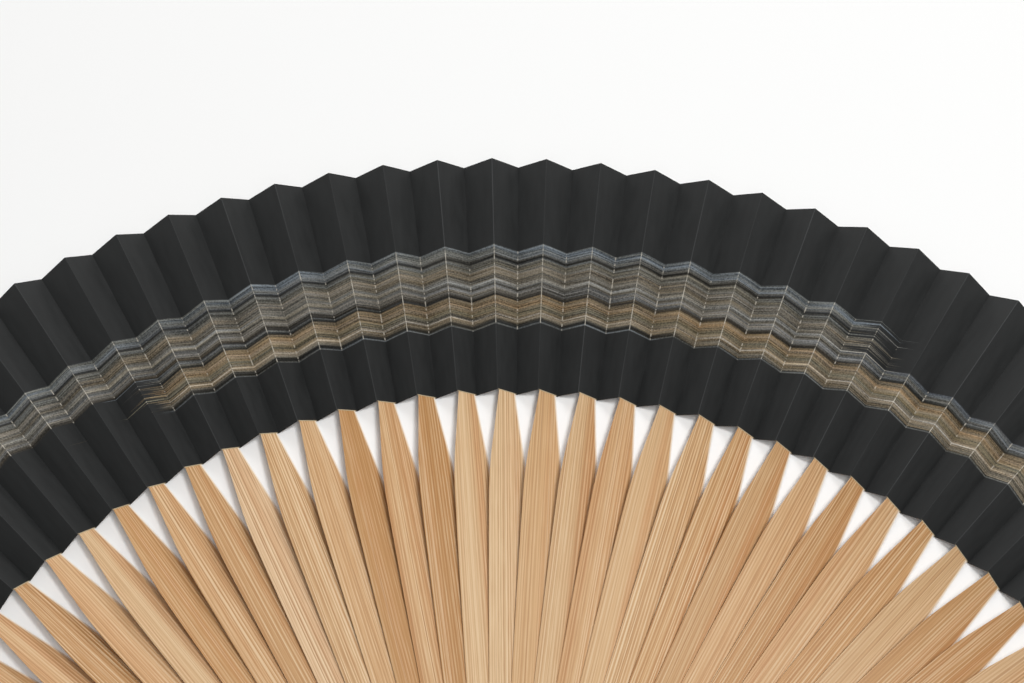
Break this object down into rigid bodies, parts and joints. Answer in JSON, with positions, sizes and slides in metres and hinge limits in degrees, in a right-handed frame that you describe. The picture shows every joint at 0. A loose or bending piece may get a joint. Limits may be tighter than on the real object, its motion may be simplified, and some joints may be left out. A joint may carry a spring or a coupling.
{
  "type": "folding fan",
  "caption": "Open folding fan: a short pleated paper leaf on slim bamboo ribs that turn on one pin and fold flat between two guards.",
  "frame": {"origin": "on the pin's axis, at the flat outer face of its lower head", "axes": "+Z along the pin, from the lower guard to the upper one; +Y along the middle of the open fan; +X towards the upper guard"},
  "size_m": [0.43, 0.227, 0.0212],
  "materials": {
    "guard_bamboo": "polished split bamboo",
    "rib_bamboo": "split bamboo, smooth",
    "leaf_paper": "black dyed paper with a brushed stripe, matte",
    "pin_horn": "black, polished"
  },
  "bodies": {
    "guard_left": {"guard_left": "guard_bamboo", "pivot_pin": "pin_horn", "leaf": "leaf_paper"},
    "guard_right": {"guard_right": "guard_bamboo"},
    "rib_01": {"rib_01": "rib_bamboo"},
    "rib_02": {"rib_02": "rib_bamboo"},
    "rib_03": {"rib_03": "rib_bamboo"},
    "rib_04": {"rib_04": "rib_bamboo"},
    "rib_05": {"rib_05": "rib_bamboo"},
    "rib_06": {"rib_06": "rib_bamboo"},
    "rib_07": {"rib_07": "rib_bamboo"},
    "rib_08": {"rib_08": "rib_bamboo"},
    "rib_09": {"rib_09": "rib_bamboo"},
    "rib_10": {"rib_10": "rib_bamboo"},
    "rib_11": {"rib_11": "rib_bamboo"},
    "rib_12": {"rib_12": "rib_bamboo"},
    "rib_13": {"rib_13": "rib_bamboo"},
    "rib_14": {"rib_14": "rib_bamboo"},
    "rib_15": {"rib_15": "rib_bamboo"},
    "rib_16": {"rib_16": "rib_bamboo"},
    "rib_17": {"rib_17": "rib_bamboo"},
    "rib_18": {"rib_18": "rib_bamboo"},
    "rib_19": {"rib_19": "rib_bamboo"},
    "rib_20": {"rib_20": "rib_bamboo"},
    "rib_21": {"rib_21": "rib_bamboo"},
    "rib_22": {"rib_22": "rib_bamboo"},
    "rib_23": {"rib_23": "rib_bamboo"},
    "rib_24": {"rib_24": "rib_bamboo"},
    "rib_25": {"rib_25": "rib_bamboo"},
    "rib_26": {"rib_26": "rib_bamboo"},
    "rib_27": {"rib_27": "rib_bamboo"},
    "rib_28": {"rib_28": "rib_bamboo"},
    "rib_29": {"rib_29": "rib_bamboo"},
    "rib_30": {"rib_30": "rib_bamboo"},
    "rib_31": {"rib_31": "rib_bamboo"},
    "rib_32": {"rib_32": "rib_bamboo"},
    "rib_33": {"rib_33": "rib_bamboo"},
    "rib_34": {"rib_34": "rib_bamboo"},
    "rib_35": {"rib_35": "rib_bamboo"},
    "rib_36": {"rib_36": "rib_bamboo"},
    "rib_37": {"rib_37": "rib_bamboo"},
    "rib_38": {"rib_38": "rib_bamboo"},
    "rib_39": {"rib_39": "rib_bamboo"},
    "rib_40": {"rib_40": "rib_bamboo"},
    "rib_41": {"rib_41": "rib_bamboo"},
    "rib_42": {"rib_42": "rib_bamboo"},
    "rib_43": {"rib_43": "rib_bamboo"}
  },
  "joints": [
    {"name": "fan_fold", "type": "hinge", "parent": "guard_left", "child": "guard_right", "pos_m": [0, 0, 0], "axis": [0, 0, 1], "range_deg": [0, 159.2], "deforming": ["leaf"]},
    {"name": "rib_01_turn", "type": "hinge", "parent": "guard_left", "child": "rib_01", "pos_m": [0, 0, 0], "axis": [0, 0, 1], "range_deg": [0, 3.62]},
    {"name": "rib_02_turn", "type": "hinge", "parent": "guard_left", "child": "rib_02", "pos_m": [0, 0, 0], "axis": [0, 0, 1], "range_deg": [0, 7.24]},
    {"name": "rib_03_turn", "type": "hinge", "parent": "guard_left", "child": "rib_03", "pos_m": [0, 0, 0], "axis": [0, 0, 1], "range_deg": [0, 10.86]},
    {"name": "rib_04_turn", "type": "hinge", "parent": "guard_left", "child": "rib_04", "pos_m": [0, 0, 0], "axis": [0, 0, 1], "range_deg": [0, 14.47]},
    {"name": "rib_05_turn", "type": "hinge", "parent": "guard_left", "child": "rib_05", "pos_m": [0, 0, 0], "axis": [0, 0, 1], "range_deg": [0, 18.09]},
    {"name": "rib_06_turn", "type": "hinge", "parent": "guard_left", "child": "rib_06", "pos_m": [0, 0, 0], "axis": [0, 0, 1], "range_deg": [0, 21.71]},
    {"name": "rib_07_turn", "type": "hinge", "parent": "guard_left", "child": "rib_07", "pos_m": [0, 0, 0], "axis": [0, 0, 1], "range_deg": [0, 25.33]},
    {"name": "rib_08_turn", "type": "hinge", "parent": "guard_left", "child": "rib_08", "pos_m": [0, 0, 0], "axis": [0, 0, 1], "range_deg": [0, 28.95]},
    {"name": "rib_09_turn", "type": "hinge", "parent": "guard_left", "child": "rib_09", "pos_m": [0, 0, 0], "axis": [0, 0, 1], "range_deg": [0, 32.56]},
    {"name": "rib_10_turn", "type": "hinge", "parent": "guard_left", "child": "rib_10", "pos_m": [0, 0, 0], "axis": [0, 0, 1], "range_deg": [0, 36.18]},
    {"name": "rib_11_turn", "type": "hinge", "parent": "guard_left", "child": "rib_11", "pos_m": [0, 0, 0], "axis": [0, 0, 1], "range_deg": [0, 39.8]},
    {"name": "rib_12_turn", "type": "hinge", "parent": "guard_left", "child": "rib_12", "pos_m": [0, 0, 0], "axis": [0, 0, 1], "range_deg": [0, 43.42]},
    {"name": "rib_13_turn", "type": "hinge", "parent": "guard_left", "child": "rib_13", "pos_m": [0, 0, 0], "axis": [0, 0, 1], "range_deg": [0, 47.04]},
    {"name": "rib_14_turn", "type": "hinge", "parent": "guard_left", "child": "rib_14", "pos_m": [0, 0, 0], "axis": [0, 0, 1], "range_deg": [0, 50.66]},
    {"name": "rib_15_turn", "type": "hinge", "parent": "guard_left", "child": "rib_15", "pos_m": [0, 0, 0], "axis": [0, 0, 1], "range_deg": [0, 54.27]},
    {"name": "rib_16_turn", "type": "hinge", "parent": "guard_left", "child": "rib_16", "pos_m": [0, 0, 0], "axis": [0, 0, 1], "range_deg": [0, 57.89]},
    {"name": "rib_17_turn", "type": "hinge", "parent": "guard_left", "child": "rib_17", "pos_m": [0, 0, 0], "axis": [0, 0, 1], "range_deg": [0, 61.51]},
    {"name": "rib_18_turn", "type": "hinge", "parent": "guard_left", "child": "rib_18", "pos_m": [0, 0, 0], "axis": [0, 0, 1], "range_deg": [0, 65.13]},
    {"name": "rib_19_turn", "type": "hinge", "parent": "guard_left", "child": "rib_19", "pos_m": [0, 0, 0], "axis": [0, 0, 1], "range_deg": [0, 68.75]},
    {"name": "rib_20_turn", "type": "hinge", "parent": "guard_left", "child": "rib_20", "pos_m": [0, 0, 0], "axis": [0, 0, 1], "range_deg": [0, 72.36]},
    {"name": "rib_21_turn", "type": "hinge", "parent": "guard_left", "child": "rib_21", "pos_m": [0, 0, 0], "axis": [0, 0, 1], "range_deg": [0, 75.98]},
    {"name": "rib_22_turn", "type": "hinge", "parent": "guard_left", "child": "rib_22", "pos_m": [0, 0, 0], "axis": [0, 0, 1], "range_deg": [0, 79.6]},
    {"name": "rib_23_turn", "type": "hinge", "parent": "guard_left", "child": "rib_23", "pos_m": [0, 0, 0], "axis": [0, 0, 1], "range_deg": [0, 83.22]},
    {"name": "rib_24_turn", "type": "hinge", "parent": "guard_left", "child": "rib_24", "pos_m": [0, 0, 0], "axis": [0, 0, 1], "range_deg": [0, 86.84]},
    {"name": "rib_25_turn", "type": "hinge", "parent": "guard_left", "child": "rib_25", "pos_m": [0, 0, 0], "axis": [0, 0, 1], "range_deg": [0, 90.45]},
    {"name": "rib_26_turn", "type": "hinge", "parent": "guard_left", "child": "rib_26", "pos_m": [0, 0, 0], "axis": [0, 0, 1], "range_deg": [0, 94.07]},
    {"name": "rib_27_turn", "type": "hinge", "parent": "guard_left", "child": "rib_27", "pos_m": [0, 0, 0], "axis": [0, 0, 1], "range_deg": [0, 97.69]},
    {"name": "rib_28_turn", "type": "hinge", "parent": "guard_left", "child": "rib_28", "pos_m": [0, 0, 0], "axis": [0, 0, 1], "range_deg": [0, 101.31]},
    {"name": "rib_29_turn", "type": "hinge", "parent": "guard_left", "child": "rib_29", "pos_m": [0, 0, 0], "axis": [0, 0, 1], "range_deg": [0, 104.93]},
    {"name": "rib_30_turn", "type": "hinge", "parent": "guard_left", "child": "rib_30", "pos_m": [0, 0, 0], "axis": [0, 0, 1], "range_deg": [0, 108.55]},
    {"name": "rib_31_turn", "type": "hinge", "parent": "guard_left", "child": "rib_31", "pos_m": [0, 0, 0], "axis": [0, 0, 1], "range_deg": [0, 112.16]},
    {"name": "rib_32_turn", "type": "hinge", "parent": "guard_left", "child": "rib_32", "pos_m": [0, 0, 0], "axis": [0, 0, 1], "range_deg": [0, 115.78]},
    {"name": "rib_33_turn", "type": "hinge", "parent": "guard_left", "child": "rib_33", "pos_m": [0, 0, 0], "axis": [0, 0, 1], "range_deg": [0, 119.4]},
    {"name": "rib_34_turn", "type": "hinge", "parent": "guard_left", "child": "rib_34", "pos_m": [0, 0, 0], "axis": [0, 0, 1], "range_deg": [0, 123.02]},
    {"name": "rib_35_turn", "type": "hinge", "parent": "guard_left", "child": "rib_35", "pos_m": [0, 0, 0], "axis": [0, 0, 1], "range_deg": [0, 126.64]},
    {"name": "rib_36_turn", "type": "hinge", "parent": "guard_left", "child": "rib_36", "pos_m": [0, 0, 0], "axis": [0, 0, 1], "range_deg": [0, 130.25]},
    {"name": "rib_37_turn", "type": "hinge", "parent": "guard_left", "child": "rib_37", "pos_m": [0, 0, 0], "axis": [0, 0, 1], "range_deg": [0, 133.87]},
    {"name": "rib_38_turn", "type": "hinge", "parent": "guard_left", "child": "rib_38", "pos_m": [0, 0, 0], "axis": [0, 0, 1], "range_deg": [0, 137.49]},
    {"name": "rib_39_turn", "type": "hinge", "parent": "guard_left", "child": "rib_39", "pos_m": [0, 0, 0], "axis": [0, 0, 1], "range_deg": [0, 141.11]},
    {"name": "rib_40_turn", "type": "hinge", "parent": "guard_left", "child": "rib_40", "pos_m": [0, 0, 0], "axis": [0, 0, 1], "range_deg": [0, 144.73]},
    {"name": "rib_41_turn", "type": "hinge", "parent": "guard_left", "child": "rib_41", "pos_m": [0, 0, 0], "axis": [0, 0, 1], "range_deg": [0, 148.35]},
    {"name": "rib_42_turn", "type": "hinge", "parent": "guard_left", "child": "rib_42", "pos_m": [0, 0, 0], "axis": [0, 0, 1], "range_deg": [0, 151.96]},
    {"name": "rib_43_turn", "type": "hinge", "parent": "guard_left", "child": "rib_43", "pos_m": [0, 0, 0], "axis": [0, 0, 1], "range_deg": [0, 155.58]}
  ],
  "couplings": [
    {"joint": "rib_01_turn", "follows": "fan_fold", "ratio": 0.022727},
    {"joint": "rib_02_turn", "follows": "fan_fold", "ratio": 0.045455},
    {"joint": "rib_03_turn", "follows": "fan_fold", "ratio": 0.068182},
    {"joint": "rib_04_turn", "follows": "fan_fold", "ratio": 0.090909},
    {"joint": "rib_05_turn", "follows": "fan_fold", "ratio": 0.11364},
    {"joint": "rib_06_turn", "follows": "fan_fold", "ratio": 0.13636},
    {"joint": "rib_07_turn", "follows": "fan_fold", "ratio": 0.15909},
    {"joint": "rib_08_turn", "follows": "fan_fold", "ratio": 0.18182},
    {"joint": "rib_09_turn", "follows": "fan_fold", "ratio": 0.20455},
    {"joint": "rib_10_turn", "follows": "fan_fold", "ratio": 0.22727},
    {"joint": "rib_11_turn", "follows": "fan_fold", "ratio": 0.25},
    {"joint": "rib_12_turn", "follows": "fan_fold", "ratio": 0.27273},
    {"joint": "rib_13_turn", "follows": "fan_fold", "ratio": 0.29545},
    {"joint": "rib_14_turn", "follows": "fan_fold", "ratio": 0.31818},
    {"joint": "rib_15_turn", "follows": "fan_fold", "ratio": 0.34091},
    {"joint": "rib_16_turn", "follows": "fan_fold", "ratio": 0.36364},
    {"joint": "rib_17_turn", "follows": "fan_fold", "ratio": 0.38636},
    {"joint": "rib_18_turn", "follows": "fan_fold", "ratio": 0.40909},
    {"joint": "rib_19_turn", "follows": "fan_fold", "ratio": 0.43182},
    {"joint": "rib_20_turn", "follows": "fan_fold", "ratio": 0.45455},
    {"joint": "rib_21_turn", "follows": "fan_fold", "ratio": 0.47727},
    {"joint": "rib_22_turn", "follows": "fan_fold", "ratio": 0.5},
    {"joint": "rib_23_turn", "follows": "fan_fold", "ratio": 0.52273},
    {"joint": "rib_24_turn", "follows": "fan_fold", "ratio": 0.54545},
    {"joint": "rib_25_turn", "follows": "fan_fold", "ratio": 0.56818},
    {"joint": "rib_26_turn", "follows": "fan_fold", "ratio": 0.59091},
    {"joint": "rib_27_turn", "follows": "fan_fold", "ratio": 0.61364},
    {"joint": "rib_28_turn", "follows": "fan_fold", "ratio": 0.63636},
    {"joint": "rib_29_turn", "follows": "fan_fold", "ratio": 0.65909},
    {"joint": "rib_30_turn", "follows": "fan_fold", "ratio": 0.68182},
    {"joint": "rib_31_turn", "follows": "fan_fold", "ratio": 0.70455},
    {"joint": "rib_32_turn", "follows": "fan_fold", "ratio": 0.72727},
    {"joint": "rib_33_turn", "follows": "fan_fold", "ratio": 0.75},
    {"joint": "rib_34_turn", "follows": "fan_fold", "ratio": 0.77273},
    {"joint": "rib_35_turn", "follows": "fan_fold", "ratio": 0.79545},
    {"joint": "rib_36_turn", "follows": "fan_fold", "ratio": 0.81818},
    {"joint": "rib_37_turn", "follows": "fan_fold", "ratio": 0.84091},
    {"joint": "rib_38_turn", "follows": "fan_fold", "ratio": 0.86364},
    {"joint": "rib_39_turn", "follows": "fan_fold", "ratio": 0.88636},
    {"joint": "rib_40_turn", "follows": "fan_fold", "ratio": 0.90909},
    {"joint": "rib_41_turn", "follows": "fan_fold", "ratio": 0.93182},
    {"joint": "rib_42_turn", "follows": "fan_fold", "ratio": 0.95455},
    {"joint": "rib_43_turn", "follows": "fan_fold", "ratio": 0.97727}
  ]
}
